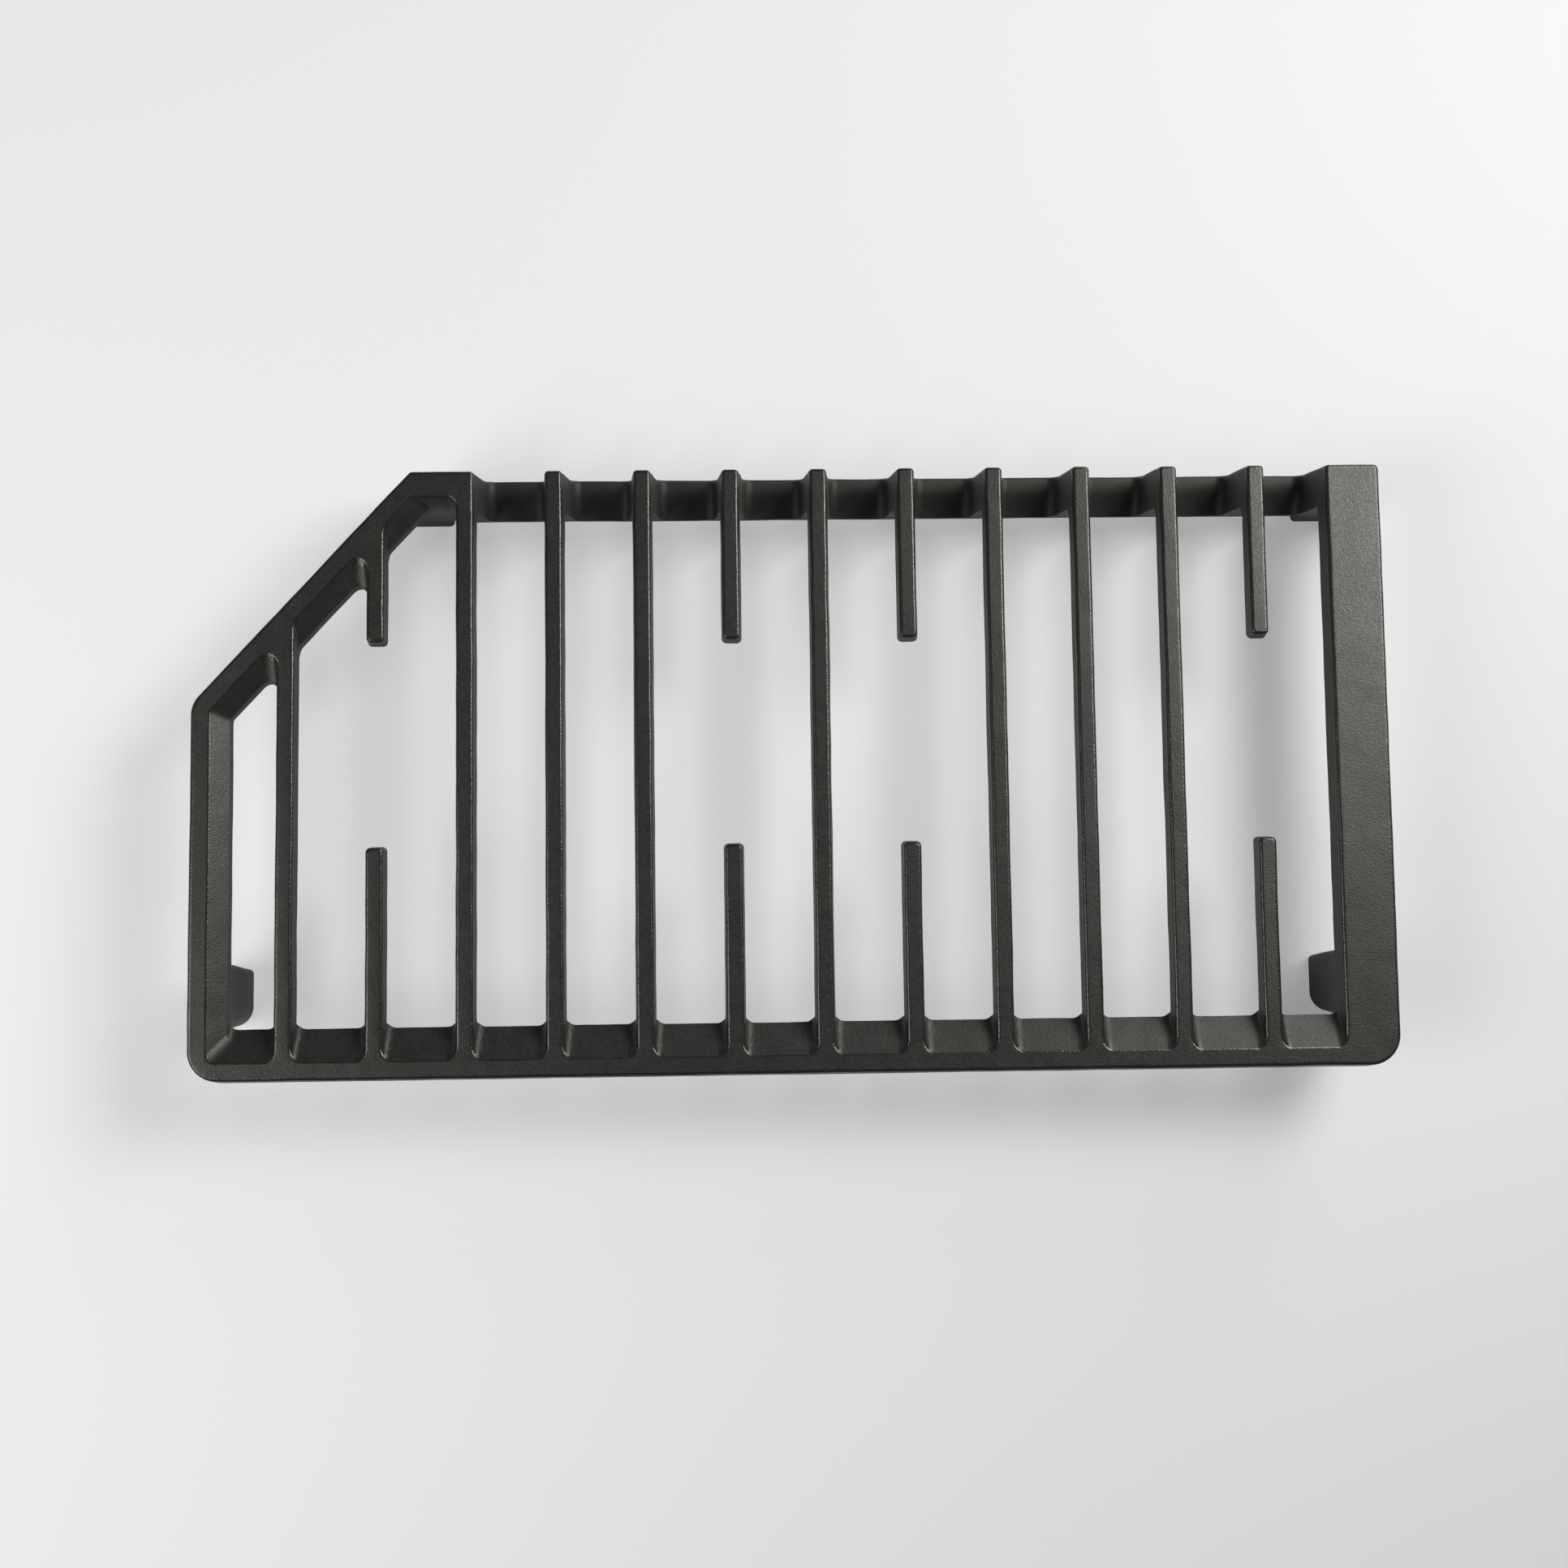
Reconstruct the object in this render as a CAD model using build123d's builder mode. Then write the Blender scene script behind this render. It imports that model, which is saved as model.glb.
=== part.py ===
from build123d import *
from math import ceil, cos, hypot, radians, sin, tan
import os

# A cast-iron pan support for two burners of a gas hob, poured as one piece.
# Millimetres, +Z up, standing on its feet. The origin is at the bottom centre of its box.
# Left (-X) is the end with the cut corner, front (-Y) is the closed long side,
# and back (+Y) is the long side where the bars bend down to a low rail.

# Overall sizes
support_depth = 238.6  # front edge to back edge, on top
draft_angle = 5.0  # lean of the faces that leave the sand mould upwards

# Bars, in a row along X
bar_count = 12
bar_pitch = 35.0
bar_width = 6.8  # on top
bar_height = 7.0
first_bar_inset = 36.7  # left outer edge to the middle of the first bar
last_bar_inset = 49.8  # middle of the last bar to the right outer edge
first_parted_bar = 2  # bars that are parted above a burner, two for each
parted_bar_step = 4
front_finger_length = 89.6  # front edge to finger tip
back_finger_length = 68.3  # back edge to finger tip

# Rails around the bars, flush with them on top
haunch_height = 2.5  # how much deeper the rails are than the bars
left_rail_width = 7.3  # flat top
left_rail_slope = 7.0  # run of its sloping inner face
left_slope_depth = 5.2  # drop of that slope, above an upright lower side
front_rail_width = 7.0
front_rail_slope = 12.6
front_slope_depth = 8.2
right_rail_width = 21.5
cut_length = 85.1  # cut corner, along X
cut_depth = 91.7  # cut corner, along Y
block_width = 10.0  # flat top of the block between the cut corner and its bar
block_slope = 3.9

# Low back rail and the wall of columns that stands on it
low_rail_drop = 28.0  # pan level to the top of the low rail
low_rail_height = 8.0
low_rail_fall = 25.0  # angle of its top, which falls towards the front from a round crest
low_rail_crest_radius = 14.0
low_rail_crest_steps = 5
column_depth = 16.0  # front to back

# Feet, in plan at the floor
back_foot_height = 12.0  # floor to the underside of the low rail
front_foot_length = 23.0
front_foot_setback = 20.1  # front edge to a front foot
left_foot_width = 12.5
right_foot_width = 19.5
back_foot_depth = 13.0  # front to back
block_foot_width = 18.7
foot_margin = 1.5  # step in from the faces above to a back foot
front_foot_spread = 2.4  # growth of a foot towards its top, at each end
back_foot_spread = 1.0

# Rounding
front_corner_radius = 12.0
cut_corner_radius = 11.0
back_corner_radius = 2.0
joint_radius_top = 3.6  # hollow between a bar and a rail, on top
joint_radius_low = 3.4
column_base_radius = 4.0  # hollow between a column and the low rail
back_edge_radius = 1.6
tip_radius = 2.0
foot_corner_radius = 2.0
foot_toe_radius = 8.0
foot_edge_radius = 1.2
top_edge_radius = 1.4

overshoot = 10.0  # how far a cutting shape runs past what it cuts


def lean(drop):
    """Outward run of a drafted face, at a distance below pan level."""
    return drop * tan(radians(draft_angle))


# Places that follow from the sizes above
rail_height = bar_height + haunch_height
low_rail_floor = low_rail_drop + low_rail_height
support_height = low_rail_floor + back_foot_height
support_length = first_bar_inset + (bar_count - 1) * bar_pitch + last_bar_inset
parted_bars = (
    first_parted_bar,
    first_parted_bar + parted_bar_step,
    bar_count - parted_bar_step,
    bar_count,
)
block_bar = ceil((cut_length - first_bar_inset) / bar_pitch) + 1  # the bar that ends the block
left = -(support_length + lean(low_rail_floor) - lean(rail_height)) / 2
right = left + support_length
front = -(support_depth + lean(low_rail_floor) - lean(rail_height)) / 2
back = front + support_depth
cut_slope = cut_depth / cut_length


def level(drop):
    """Horizontal plane at a distance below pan level."""
    return Plane.XY.offset(support_height - drop)


def bar_x(number):
    """Middle of a bar, counted from 1 at the left."""
    return left + first_bar_inset + (number - 1) * bar_pitch


def slope_run(run, depth, drop):
    """How far a rail's inner face has come in, down its slope and then its leaning lower side."""
    if drop < depth:
        return run * drop / depth
    return run + lean(drop - depth)


def cut_inset(drop):
    """Width of the left rail, and of the cut corner's rail, which has the same section."""
    return left_rail_width + slope_run(left_rail_slope, left_slope_depth, drop)


def side_x(number, side, drop):
    """Side face of a bar, or the inner face of the left rail (0) or of the right rail."""
    if number == 0:
        return left + cut_inset(drop)
    if number > bar_count:
        return right - right_rail_width - lean(drop)
    return bar_x(number) + side * (bar_width / 2 + lean(drop))


def front_y(drop):
    """Sloping inner face of the front rail."""
    return front + front_rail_width + slope_run(front_rail_slope, front_slope_depth, drop)


def block_y(drop):
    """Sloping inner face of the corner block."""
    return back - block_width - slope_run(block_slope, left_slope_depth, drop)


def column_y(drop):
    """Front face of the columns, which leans with their back face."""
    return back - column_depth + lean(drop)


def cut_y(x, inset):
    """Y at an x on the line that runs inside the cut corner's edge by an inset."""
    return back - cut_depth + (x - left) * cut_slope - inset * hypot(1, cut_slope)


def cut_x(y, inset):
    """X at a y on the same line."""
    return left + (y - back + cut_depth + inset * hypot(1, cut_slope)) / cut_slope


def outline_points(grow):
    """Outer outline: front left, front right, back right, block and cut corners."""
    return [
        (left - grow, front - grow),
        (right + grow, front - grow),
        (right + grow, back + grow),
        (cut_x(back + grow, -grow), back + grow),
        (left - grow, cut_y(left - grow, -grow)),
    ]


def joint_radius(drop):
    """Hollow corner of an opening."""
    return joint_radius_top + (joint_radius_low - joint_radius_top) * drop / rail_height


def opening_points(number, drop):
    """The opening on the right of a bar, or of the left rail for number 0."""
    x_left, x_right = side_x(number, 1, drop), side_x(number + 1, -1, drop)
    y_front = front_y(drop)
    if number >= block_bar:
        y_back = back + overshoot
        return [(x_left, y_front), (x_right, y_front), (x_right, y_back), (x_left, y_back)]
    inset = cut_inset(drop)
    x_block, y_block = cut_x(block_y(drop), inset), block_y(drop)
    points = [(x_left, y_front), (x_right, y_front), (x_right, min(cut_y(x_right, inset), y_block))]
    if x_left < x_block < x_right:
        points.append((x_block, y_block))
    points.append((x_left, min(cut_y(x_left, inset), y_block)))
    return points


def bar_field_points(inset):
    """The field of bars, inside the lower edges of the rails and columns by an inset."""
    x_left = side_x(0, 1, rail_height) + inset
    x_right = side_x(bar_count + 1, -1, rail_height) - inset
    y_front, y_back = front_y(rail_height) + inset, column_y(rail_height) - inset
    rail = cut_inset(rail_height) + inset
    return [
        (x_left, y_front),
        (x_right, y_front),
        (x_right, y_back),
        (cut_x(y_back, rail), y_back),
        (x_left, cut_y(x_left, rail)),
    ]


def block_front_y(drop):
    """Front face of the leg under the corner block, flush with the block's lower edge."""
    return block_y(rail_height) + lean(drop - rail_height)


def front_foot_points(x_low, x_high, spread):
    """A front foot, grown at its two ends along Y."""
    y_low = front + front_foot_setback - spread
    y_high = front + front_foot_setback + front_foot_length + spread
    return [(x_low, y_low), (x_high, y_low), (x_high, y_high), (x_low, y_high)]


def block_foot_points(spread):
    """The foot under the corner block, which follows the cut corner, grown along X."""
    y_low = block_front_y(low_rail_floor)
    y_high = y_low + back_foot_depth
    inset = foot_margin - lean(low_rail_floor)
    x_low = cut_x((y_low + y_high) / 2, inset)
    x_high = x_low + block_foot_width + spread
    return [
        (x_low - spread, y_low),
        (x_high, y_low),
        (x_high, y_high),
        (cut_x(y_high, inset - spread), y_high),
        (x_low - spread, cut_y(x_low - spread, inset - spread)),
    ]


def right_foot_points(spread):
    """The foot at the back of the right rail, grown along X."""
    y_low = column_y(low_rail_floor)
    y_high = y_low + back_foot_depth
    x_low = side_x(bar_count + 1, -1, low_rail_floor) + foot_margin
    x_high = x_low + right_foot_width
    return [
        (x_low - spread, y_low),
        (x_high + spread, y_low),
        (x_high + spread, y_high),
        (x_low - spread, y_high),
    ]


def low_rail_profile():
    """Y and drop of the low rail's top: flat past the back edge, round at the crest, then falling."""
    crest_y = back + lean(low_rail_drop) - back_edge_radius
    points = [(back + overshoot, low_rail_drop)]
    for step in range(low_rail_crest_steps + 1):
        turn = radians(low_rail_fall) * step / low_rail_crest_steps
        y = crest_y - low_rail_crest_radius * sin(turn)
        points.append((y, low_rail_drop + low_rail_crest_radius * (1 - cos(turn))))
    y, drop = points[-1]
    front_end = back - column_depth - overshoot
    points.append((front_end, drop + (y - front_end) * tan(radians(low_rail_fall))))
    return points


def window_points(number, drop):
    """The window on the right of a column, down to the low rail's top."""
    x_left, x_right = side_x(number, 1, drop), side_x(number + 1, -1, drop)
    x_right_top, x_left_top = side_x(number + 1, -1, 0), side_x(number, 1, 0)
    foot, head = support_height - drop, support_height
    return [(x_left, foot), (x_right, foot), (x_right_top, head), (x_left_top, head)]


def finger_gap_points(number, drop):
    """The gap in a parted bar, which narrows downwards between the leaning tips."""
    half_width = bar_pitch / 2
    y_front = front + front_finger_length + lean(drop)
    y_back = back - back_finger_length - lean(drop)
    x_left, x_right = bar_x(number) - half_width, bar_x(number) + half_width
    return [(x_left, y_front), (x_right, y_front), (x_right, y_back), (x_left, y_back)]


# Openings between the bars, with ends that slope at the rails, and hollow corners
with BuildPart() as openings:
    for number in range(bar_count + 1):
        for drop in sorted((0, left_slope_depth, front_slope_depth, rail_height)):
            with BuildSketch(level(drop)):
                with BuildLine():
                    FilletPolyline(opening_points(number, drop), radius=joint_radius(drop), close=True)
                make_face()
        loft(ruled=True)

# Windows between the columns, above the low rail's crowned top
with BuildPart() as windows:
    for number in range(block_bar, bar_count + 1):
        for y, drop in low_rail_profile():
            with BuildSketch(Plane.XZ.offset(-y)):
                with BuildLine():
                    FilletPolyline(
                        window_points(number, drop),
                        radius=[column_base_radius, column_base_radius, 0, 0],
                        close=True,
                    )
                make_face()
        loft(ruled=True)

# Gaps above the burners, between the tips of the parted bars
with BuildPart() as finger_gaps:
    for number in parted_bars:
        for drop in (0, rail_height):
            with BuildSketch(level(drop)):
                with BuildLine():
                    Polyline(finger_gap_points(number, drop), close=True)
                make_face()
        loft(ruled=True)

with BuildPart() as pan_support:
    # The block of metal inside the leaning outer faces, down to the underside of the low rail
    corner_radii = [
        front_corner_radius,
        front_corner_radius,
        back_corner_radius,
        back_corner_radius,
        cut_corner_radius,
    ]
    for drop in (0, low_rail_floor):
        with BuildSketch(level(drop)):
            with BuildLine():
                FilletPolyline(
                    outline_points(lean(drop)),
                    radius=[radius + lean(drop) for radius in corner_radii],
                    close=True,
                )
            make_face()
    loft(ruled=True)

    # The space under the rails, which leaves the block's leg and the wall of columns at the back
    leg_end = side_x(block_bar, -1, 0)
    for x_start, x_end, wall_y in (
        (left - overshoot, leg_end, block_front_y),
        (leg_end, right + overshoot, column_y),
    ):
        with BuildSketch(Plane.YZ.offset(x_start)):
            with BuildLine():
                Polyline(
                    (front - overshoot, support_height - rail_height),
                    (wall_y(rail_height), support_height - rail_height),
                    (wall_y(low_rail_floor), support_height - low_rail_floor),
                    (front - overshoot, support_height - low_rail_floor),
                    close=True,
                )
            make_face()
        extrude(amount=x_end - x_start, mode=Mode.SUBTRACT)

    # Undersides of the bars, which are less high than the rails, with a haunch at each end
    for drop, inset in ((rail_height, 0), (bar_height, haunch_height)):
        with BuildSketch(level(drop)):
            with BuildLine():
                Polyline(bar_field_points(inset), close=True)
            make_face()
    loft(ruled=True, mode=Mode.SUBTRACT)

    add(openings.part, mode=Mode.SUBTRACT)
    add(windows.part, mode=Mode.SUBTRACT)
    add(finger_gaps.part, mode=Mode.SUBTRACT)

    # Finger tips, rounded from above
    for tip_y in (front + front_finger_length, back - back_finger_length):
        tip_edges = pan_support.edges().filter_by_position(
            Axis.Y, tip_y - lean(bar_height), tip_y + lean(bar_height)
        )
        fillet(
            tip_edges.filter_by(lambda edge: edge.bounding_box().size.Z > bar_height / 2),
            radius=tip_radius,
        )

    # Back edges of the columns and of the low rail, in one round from column to column
    back_face = pan_support.faces().sort_by(Axis.Y)[-1]
    fillet(
        back_face.edges()
        .filter_by_position(Axis.X, bar_x(block_bar), right - right_rail_width / 2)
        .filter_by_position(
            Axis.Z,
            support_height - low_rail_drop - low_rail_height / 2,
            support_height - top_edge_radius,
        ),
        radius=back_edge_radius,
    )

    # All edges at pan level, also on the back fingers, whose tops stand apart from the rest
    fillet(pan_support.faces().group_by(Axis.Z)[-1].edges(), radius=top_edge_radius)

    # Front feet, with a round toe on the inside
    left_inner = side_x(0, 1, rail_height)
    right_inner = side_x(bar_count + 1, -1, rail_height)
    corner, toe = foot_corner_radius, foot_toe_radius
    for x_low, x_high, radii in (
        (left_inner - left_foot_width, left_inner, [corner, toe, corner, corner]),
        (right_inner, right_inner + right_foot_width, [toe, corner, corner, corner]),
    ):
        for drop, spread in ((rail_height, front_foot_spread), (support_height, 0)):
            with BuildSketch(level(drop)):
                with BuildLine():
                    FilletPolyline(front_foot_points(x_low, x_high, spread), radius=radii, close=True)
                make_face()
        loft(ruled=True)

    # Back feet, under the ends of the low rail
    for foot_points in (block_foot_points, right_foot_points):
        for drop, spread in ((low_rail_floor, back_foot_spread), (support_height, 0)):
            with BuildSketch(level(drop)):
                with BuildLine():
                    FilletPolyline(foot_points(spread), radius=foot_corner_radius, close=True)
                make_face()
        loft(ruled=True)
    fillet(pan_support.faces().group_by(Axis.Z)[0].edges(), radius=foot_edge_radius)

pan_support.part.label = "pan_support"

os.makedirs("parts", exist_ok=True)
export_step(pan_support.part, "parts/pan_support.step")
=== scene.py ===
"""A cast-iron pan support for a gas hob, seen from just off straight above on a pale table.

Lengths are in metres, and lamp powers in watts.
"""
import math

import bmesh
import bpy
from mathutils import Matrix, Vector


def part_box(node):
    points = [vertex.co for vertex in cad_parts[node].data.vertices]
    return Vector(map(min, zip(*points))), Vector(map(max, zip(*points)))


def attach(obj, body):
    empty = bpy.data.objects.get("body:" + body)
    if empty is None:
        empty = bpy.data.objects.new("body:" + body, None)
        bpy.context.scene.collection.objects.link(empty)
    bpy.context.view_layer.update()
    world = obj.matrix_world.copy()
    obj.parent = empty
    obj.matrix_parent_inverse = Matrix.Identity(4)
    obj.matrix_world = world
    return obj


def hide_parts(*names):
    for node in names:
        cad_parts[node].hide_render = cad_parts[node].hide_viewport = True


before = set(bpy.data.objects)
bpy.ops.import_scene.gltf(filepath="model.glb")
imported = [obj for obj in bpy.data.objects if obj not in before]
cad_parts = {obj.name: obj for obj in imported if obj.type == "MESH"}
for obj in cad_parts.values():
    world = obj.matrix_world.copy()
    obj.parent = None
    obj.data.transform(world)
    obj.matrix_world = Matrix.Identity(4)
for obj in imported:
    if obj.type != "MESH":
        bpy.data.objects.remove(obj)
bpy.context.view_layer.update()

# The casting
# One piece of grey iron poured in a sand mould, with rounded knees under the slopes of its rails.
# Its mesh is cut into even cells, so that its sides can take the waviness that the sand leaves.
merge_distance = 1e-6
flat_angle = math.radians(0.3)
rounding_breadth = 0.0008
rounding_drop = 0.0015
left_knee_level = 0.0428
front_knee_level = 0.0398
knee_level_band = 0.0001
knee_least_angle = math.radians(14)
knee_round = 0.0011
knee_segments = 3
knee_profile = 0.5
cell_size = 0.005
sliver_size = 2e-5
crease_angle = math.radians(32)

casting_low, casting_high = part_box("pan_support")
cells = bmesh.new()
cells.from_mesh(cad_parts["pan_support"].data)
bmesh.ops.remove_doubles(cells, verts=cells.verts, dist=merge_distance)
bmesh.ops.dissolve_limit(cells, angle_limit=flat_angle, verts=cells.verts, edges=cells.edges)

# The narrow faces at pan level are its rounded edges, and the attribute marks them for the skin
rounding = cells.faces.layers.float.new("rounding")
for face in cells.faces:
    is_narrow = 2 * face.calc_area() / face.calc_perimeter() < rounding_breadth
    face[rounding] = is_narrow and face.calc_center_median().z > casting_high[2] - rounding_drop


def is_knee(edge):
    """True for an edge where a rail's slope turns down into its upright lower side."""
    if edge.calc_face_angle(0) < knee_least_angle:
        return False
    for level in (left_knee_level, front_knee_level):
        if all(abs(end.co.z - level) < knee_level_band for end in edge.verts):
            return True
    return False


bmesh.ops.bevel(cells, geom=[edge for edge in cells.edges if is_knee(edge)], offset=knee_round,
                segments=knee_segments, profile=knee_profile, affect="EDGES", clamp_overlap=True)
for axis in range(3):
    reach = casting_high[axis] - casting_low[axis]
    cell_count = int(reach / cell_size)
    across = Vector((axis == 0, axis == 1, axis == 2))
    for cut in range(cell_count):
        cut_place = across * (casting_low[axis] + (cut + 0.5) * reach / cell_count)
        bmesh.ops.bisect_plane(cells, geom=cells.verts[:] + cells.edges[:] + cells.faces[:],
                               dist=sliver_size, plane_co=cut_place, plane_no=across)
bmesh.ops.triangulate(cells, faces=cells.faces)
bmesh.ops.dissolve_degenerate(cells, dist=sliver_size, edges=cells.edges)
for face in cells.faces:
    face.smooth = True
for edge in cells.edges:
    edge.smooth = edge.calc_face_angle(0) < crease_angle
cells_mesh = bpy.data.meshes.new("casting_cells")
cells.to_mesh(cells_mesh)
cells.free()
cells_object = bpy.data.objects.new("casting_cells", cells_mesh)
bpy.context.scene.collection.objects.link(cells_object)


# The casting's skin
# Matt black vitreous enamel, sprayed from above and fired, which keeps the sand's grain and a few
# pinholes on the faces that look up. The sides and the low parts are smoother but duller, and pans and
# cloths have rubbed the rounded edges at pan level bright.
enamel_index = 1.5
reflection_tint = (1.0, 1.0, 0.92, 1)
enamel_dark = (0.0120, 0.0120, 0.0111, 1)
enamel_light = (0.0180, 0.0180, 0.0166, 1)
noise_low = 0.3
noise_high = 0.7
side_facing = 0.10
top_facing = 0.55
side_grain_share = 0.12
coarse_grain_share = 0.2
grain_depth = 0.00010
long_wave_depth = 0.0003
pinhole_scale = 260
pinhole_core = 0.03
pinhole_rim = 0.11
pinhole_rarity = 0.80
smooth_top_roughness = 0.37
rough_top_roughness = 0.45
side_roughness = 0.62
deep_roughness = 0.60
rubbed_roughness = 0.25
spray_fades_below = 0.040
spray_ends = 0.020


def add_node(tree, kind, entries=None, **settings):
    """A new node with its settings. Each entry is a value, or the output of a node that feeds it."""
    node = tree.nodes.new(kind)
    for name, value in settings.items():
        setattr(node, name, value)
    for entry, value in (entries or {}).items():
        if isinstance(value, bpy.types.NodeSocket):
            tree.links.new(value, node.inputs[entry])
        else:
            node.inputs[entry].default_value = value
    return node


def add_math(tree, operation, first, second):
    """The result of a Math node on two terms."""
    return add_node(tree, "ShaderNodeMath", {0: first, 1: second}, operation=operation).outputs["Value"]


def add_range(tree, value, span, result=(0.0, 1.0), interpolation="SMOOTHSTEP"):
    """A value brought from one span to another, and held at both ends."""
    entries = {"Value": value, "From Min": span[0], "From Max": span[1],
               "To Min": result[0], "To Max": result[1]}
    node = add_node(tree, "ShaderNodeMapRange", entries, interpolation_type=interpolation)
    return node.outputs["Result"]


def add_ramp(tree, factor, *stops):
    """A colour that goes from the first stop to the second. A stop is a position and a colour."""
    ramp = add_node(tree, "ShaderNodeValToRGB", {"Fac": factor})
    for element, (position, colour) in zip(ramp.color_ramp.elements, stops):
        element.position = position
        element.color = colour
    return ramp.outputs["Color"]


enamel = bpy.data.materials.new("enamelled_iron")
enamel.use_nodes = True
skin = enamel.node_tree
enamel_shader = skin.nodes["Principled BSDF"]
enamel_shader.inputs["IOR"].default_value = enamel_index
enamel_shader.inputs["Specular Tint"].default_value = reflection_tint

skin_place = add_node(skin, "ShaderNodeTexCoord").outputs["Object"]
skin_height = add_node(skin, "ShaderNodeSeparateXYZ", {"Vector": skin_place}).outputs["Z"]
facing = add_node(skin, "ShaderNodeNewGeometry").outputs["Normal"]
facing_up = add_node(skin, "ShaderNodeSeparateXYZ", {"Vector": facing}).outputs["Z"]
grain_mask = add_range(skin, facing_up, (side_facing, top_facing), (side_grain_share, 1.0))


def skin_noise(scale, detail, roughness=0.5):
    """A noise all over the casting."""
    entries = {"Vector": skin_place, "Scale": scale, "Detail": detail, "Roughness": roughness}
    return add_node(skin, "ShaderNodeTexNoise", entries).outputs["Fac"]


fine_grain = skin_noise(scale=1600, detail=1.0)
coarse_grain = skin_noise(scale=850, detail=0.0)
long_waves = skin_noise(scale=55, detail=1.0)
tone_patches = skin_noise(scale=140, detail=3.0, roughness=0.6)

pinholes = add_node(skin, "ShaderNodeTexVoronoi", {"Vector": skin_place, "Scale": pinhole_scale})
pinhole_depth = add_range(skin, pinholes.outputs["Distance"], (pinhole_core, pinhole_rim), (1.0, 0.0))
pinhole_pick = add_node(skin, "ShaderNodeSeparateColor", {"Color": pinholes.outputs["Color"]})
pinhole_few = add_math(skin, "GREATER_THAN", pinhole_pick.outputs["Red"], pinhole_rarity)
pinhole = add_math(skin, "MULTIPLY", pinhole_depth, pinhole_few)

grain_mix = add_node(skin, "ShaderNodeMix",
                     {"Factor": coarse_grain_share, "A": fine_grain, "B": coarse_grain})
grain_holed = add_math(skin, "SUBTRACT", grain_mix.outputs["Result"], pinhole)
grain_height = add_math(skin, "MULTIPLY", grain_holed, grain_mask)
wave_bump = add_node(skin, "ShaderNodeBump",
                     {"Strength": 1.0, "Distance": long_wave_depth, "Height": long_waves})
grain_bump = add_node(skin, "ShaderNodeBump", {"Strength": 1.0, "Distance": grain_depth,
                                               "Height": grain_height,
                                               "Normal": wave_bump.outputs["Normal"]})
skin.links.new(grain_bump.outputs["Normal"], enamel_shader.inputs["Normal"])

tone = add_ramp(skin, tone_patches, (noise_low, enamel_dark), (noise_high, enamel_light))
skin.links.new(tone, enamel_shader.inputs["Base Color"])

top_gloss = add_range(skin, coarse_grain, (noise_low, noise_high),
                      (smooth_top_roughness, rough_top_roughness), "LINEAR")
side_gloss = add_node(skin, "ShaderNodeMix",
                      {"Factor": grain_mask, "A": side_roughness, "B": top_gloss})
spray_reach = add_range(skin, skin_height, (spray_ends, spray_fades_below))
deep_gloss = add_node(skin, "ShaderNodeMix", {"Factor": spray_reach, "A": deep_roughness,
                                              "B": side_gloss.outputs["Result"]})
rubbed_edges = add_node(skin, "ShaderNodeAttribute", attribute_name="rounding")
edge_gloss = add_node(skin, "ShaderNodeMix", {"Factor": rubbed_edges.outputs["Fac"],
                                              "A": deep_gloss.outputs["Result"], "B": rubbed_roughness})
skin.links.new(edge_gloss.outputs["Result"], enamel_shader.inputs["Roughness"])


# The sand's waviness
# Sand moulds never leave a side quite straight: the sides wander by a tenth or two of a millimetre.
# The tree shifts them sideways, leaves the soles of the feet alone and stays inside the CAD box.
wave_length = 0.018
wave_depth = 0.0003
sole_height = 0.003
wave_seed = 4.0
face_weight = 100

waviness = bpy.data.node_groups.new("sand_waviness", "GeometryNodeTree")
wave_sockets = {}
for name, kind in (("Geometry", "Geometry"), ("Wave Length", "Float"), ("Wave Depth", "Float"),
                   ("Sole Height", "Float"), ("Seed", "Float"), ("Box Low", "Vector"),
                   ("Box High", "Vector"), ("Skin", "Material")):
    wave_sockets[name] = waviness.interface.new_socket(name, in_out="INPUT",
                                                       socket_type="NodeSocket" + kind)
waviness.interface.new_socket("Geometry", in_out="OUTPUT", socket_type="NodeSocketGeometry")


def wave_vector(operation, first, second):
    """The result of a Vector Math node on two terms."""
    entries = {0: first, "Scale" if operation == "SCALE" else 1: second}
    return add_node(waviness, "ShaderNodeVectorMath", entries, operation=operation).outputs["Vector"]


wave_in = add_node(waviness, "NodeGroupInput").outputs
spot = add_node(waviness, "GeometryNodeInputPosition").outputs["Position"]
wave_rate = add_math(waviness, "DIVIDE", 1.0, wave_in["Wave Length"])
wave_field = add_node(waviness, "ShaderNodeTexNoise",
                      {"Vector": spot, "W": wave_in["Seed"], "Scale": wave_rate, "Detail": 1.0},
                      noise_dimensions="4D")
centred = wave_vector("SUBTRACT", wave_field.outputs["Color"], (0.5, 0.5, 0.5))
sideways = wave_vector("MULTIPLY", centred, (2.0, 2.0, 0.0))
spot_height = add_node(waviness, "ShaderNodeSeparateXYZ", {"Vector": spot}).outputs["Z"]
above_sole = add_range(waviness, spot_height, (0.0, wave_in["Sole Height"]))
depth_here = add_math(waviness, "MULTIPLY", above_sole, wave_in["Wave Depth"])
shift = wave_vector("SCALE", sideways, depth_here)
moved = wave_vector("ADD", spot, shift)
not_below = wave_vector("MAXIMUM", moved, wave_in["Box Low"])
not_above = wave_vector("MINIMUM", not_below, wave_in["Box High"])
placed = add_node(waviness, "GeometryNodeSetPosition",
                  {"Geometry": wave_in["Geometry"], "Position": not_above})
realized = add_node(waviness, "GeometryNodeRealizeInstances", {"Geometry": placed.outputs["Geometry"]})
coated = add_node(waviness, "GeometryNodeSetMaterial",
                  {"Geometry": realized.outputs["Geometry"], "Material": wave_in["Skin"]})
add_node(waviness, "NodeGroupOutput", {"Geometry": coated.outputs["Geometry"]})

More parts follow.
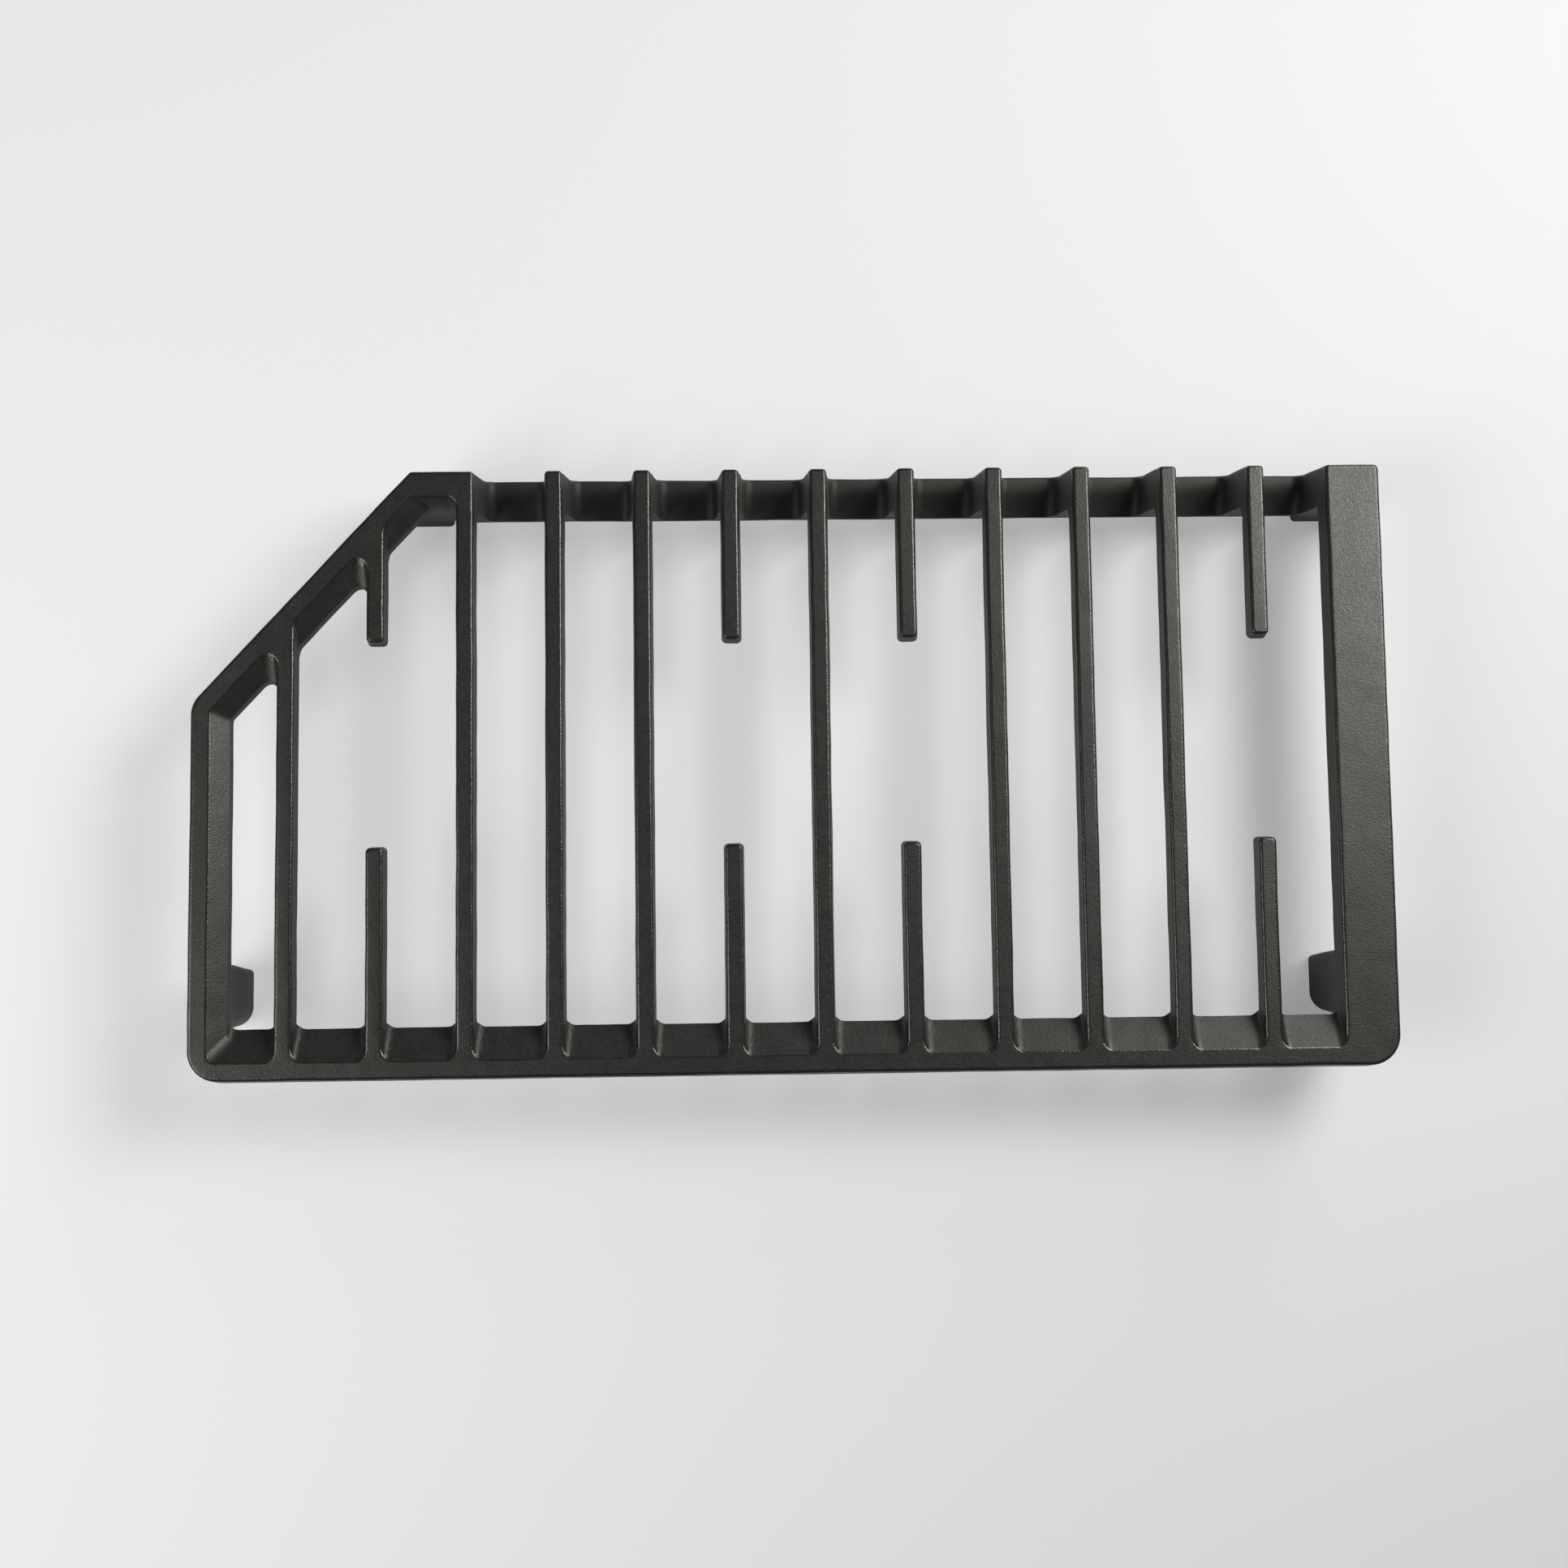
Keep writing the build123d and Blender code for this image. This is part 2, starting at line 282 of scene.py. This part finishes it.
wave_modifier = cells_object.modifiers.new("sand_waviness", "NODES")
wave_modifier.node_group = waviness
for name, value in (("Wave Length", wave_length), ("Wave Depth", wave_depth),
                    ("Sole Height", sole_height), ("Seed", wave_seed), ("Box Low", casting_low),
                    ("Box High", casting_high), ("Skin", enamel)):
    wave_modifier[wave_sockets[name].identifier] = value
flat_normals = cells_object.modifiers.new("flat_normals", "WEIGHTED_NORMAL")
flat_normals.mode = "FACE_AREA"
flat_normals.weight = face_weight
flat_normals.keep_sharp = True
bpy.context.view_layer.update()
evaluated = cells_object.evaluated_get(bpy.context.evaluated_depsgraph_get())
casting_mesh = bpy.data.meshes.new_from_object(evaluated)
casting_mesh.name = "casting"
bpy.data.objects.remove(cells_object)
casting = bpy.data.objects.new("casting", casting_mesh)
bpy.context.scene.collection.objects.link(casting)
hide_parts("pan_support")
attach(casting, "root")


# The table
# A smooth matt white sheet, much larger than the picture. It glows a little where it is seen, as a
# sheet does in a white room, so that the shadows on it stay soft and pale. Near the casting the glow
# is painted lighter at the left and darker at the right, a painted fall-off of the lamps' light. Far
# out, where the lamps don't reach, it glows fully, so that it stays pale from every side.
table_half = 3.0
table_white = (0.84, 0.84, 0.84, 1)
table_roughness = 0.9
table_specular = 0.1
table_mirrored_share = 0.32
table_glow_share = 0.43
# Painted light: near the casting the glow is lighter at the left and darker at the right, a painted
# fall-off of the lamps' light across the table
table_glow_painted_light_left = (0.93, 0.93, 0.93, 1)
table_glow_painted_shade_right = (0.56, 0.56, 0.56, 1)
table_glow_far = (0.74, 0.74, 0.74, 1)
painted_falloff_half = 0.66
painted_falloff_start = 0.16
painted_falloff_end = 0.84
table_far_start = 0.45
table_far_end = 1.05

# The Mix node's colour sockets share their names with its other sockets, so they go by number
mix_factor = 0
mix_first_colour = 6
mix_second_colour = 7
mix_colour_result = 2


def mix_colours(tree, factor, first, second):
    """A blend of two colours."""
    entries = {mix_factor: factor, mix_first_colour: first, mix_second_colour: second}
    return add_node(tree, "ShaderNodeMix", entries, data_type="RGBA").outputs[mix_colour_result]


def seen_share(tree, mirrored_share):
    """1 where the camera looks, directly or through glass, a share of it in mirrors, and else 0."""
    ray = add_node(tree, "ShaderNodeLightPath").outputs
    mirrored = add_math(tree, "MULTIPLY", ray["Is Glossy Ray"], mirrored_share)
    seen = add_math(tree, "MAXIMUM", ray["Is Camera Ray"], mirrored)
    return add_math(tree, "MAXIMUM", seen, ray["Is Transmission Ray"])


table_mesh = bpy.data.meshes.new("table")
table_mesh.from_pydata([(-table_half, -table_half, 0), (table_half, -table_half, 0),
                        (table_half, table_half, 0), (-table_half, table_half, 0)], [], [(0, 1, 2, 3)])
table = bpy.data.objects.new("table", table_mesh)
bpy.context.scene.collection.objects.link(table)

table_paint = bpy.data.materials.new("table_paint")
table_paint.use_nodes = True
paint = table_paint.node_tree
table_shader = paint.nodes["Principled BSDF"]
table_shader.inputs["Base Color"].default_value = table_white
table_shader.inputs["Roughness"].default_value = table_roughness
table_shader.inputs["Specular IOR Level"].default_value = table_specular

table_place = add_node(paint, "ShaderNodeTexCoord").outputs["Object"]
table_reach = add_node(paint, "ShaderNodeVectorMath", {0: table_place}, operation="LENGTH")
table_far = add_range(paint, table_reach.outputs["Value"], (table_far_start, table_far_end))
share_here = add_node(paint, "ShaderNodeMix", {"Factor": table_far, "A": table_glow_share, "B": 1.0})
glow_share = add_math(paint, "MULTIPLY", seen_share(paint, table_mirrored_share),
                      share_here.outputs["Result"])
# The painted fall-off: across the table the glow goes from the lighter left colour to the darker right
# colour
table_across = add_node(paint, "ShaderNodeSeparateXYZ", {"Vector": table_place}).outputs["X"]
painted_falloff_across = add_range(paint, table_across, (-painted_falloff_half, painted_falloff_half))
near_glow_painted_falloff = add_ramp(paint, painted_falloff_across, (painted_falloff_start, table_glow_painted_light_left),
                     (painted_falloff_end, table_glow_painted_shade_right))
glow = add_node(paint, "ShaderNodeEmission",
                {"Color": mix_colours(paint, table_far, near_glow_painted_falloff, table_glow_far)})
table_mix = add_node(paint, "ShaderNodeMixShader", {0: glow_share, 1: table_shader.outputs["BSDF"],
                                                    2: glow.outputs["Emission"]})
paint.links.new(table_mix.outputs["Shader"], paint.nodes["Material Output"].inputs["Surface"])
table_mesh.materials.append(table_paint)


# The light
# A softbox to the right and a little behind gives the sheen on the right rail, and weaker ones stand
# to the left and behind. The room is unlit above, where the camera hangs, and pale where it is seen.
room_dark = (0.004, 0.004, 0.004, 1)
room_pale = (0.74, 0.74, 0.74, 1)
room_mirrored_share = 0.05


def softbox(name, place, size, power):
    """A square softbox at a place, turned to face the casting."""
    lamp = bpy.data.lights.new(name, "AREA")
    lamp.shape = "SQUARE"
    lamp.size = size
    lamp.energy = power
    box = bpy.data.objects.new(name, lamp)
    box.location = place
    box.rotation_euler = (-box.location).to_track_quat("-Z", "Y").to_euler()
    bpy.context.scene.collection.objects.link(box)


softbox("key_softbox", place=(0.67, 0.37, 0.83), size=0.5, power=10.8)
softbox("left_softbox", place=(-0.80, -0.30, 0.80), size=0.6, power=7.0)
softbox("back_softbox", place=(0.77, 1.15, 0.58), size=0.7, power=6.4)

room = bpy.data.worlds.new("room")
room.use_nodes = True
walls = room.node_tree
room_seen = seen_share(walls, room_mirrored_share)
walls.links.new(mix_colours(walls, room_seen, room_dark, room_pale),
                walls.nodes["Background"].inputs["Color"])
bpy.context.scene.world = room


# The camera
# It hangs a little in front of the support's middle and looks almost straight down.
camera_sensor_mm = 36
camera_lens_mm = 46.58
camera_sees_to = 50
camera_place = (-0.02455, -0.07855, 0.84011)
camera_turn = (math.radians(5.123), math.radians(-1.324), math.radians(-0.783))

camera_data = bpy.data.cameras.new("camera")
camera_data.sensor_width = camera_sensor_mm
camera_data.lens = camera_lens_mm
camera_data.clip_end = camera_sees_to
camera = bpy.data.objects.new("camera", camera_data)
camera.location = camera_place
camera.rotation_euler = camera_turn
bpy.context.scene.collection.objects.link(camera)
bpy.context.scene.camera = camera

bpy.context.scene.view_settings.view_transform = "Standard"
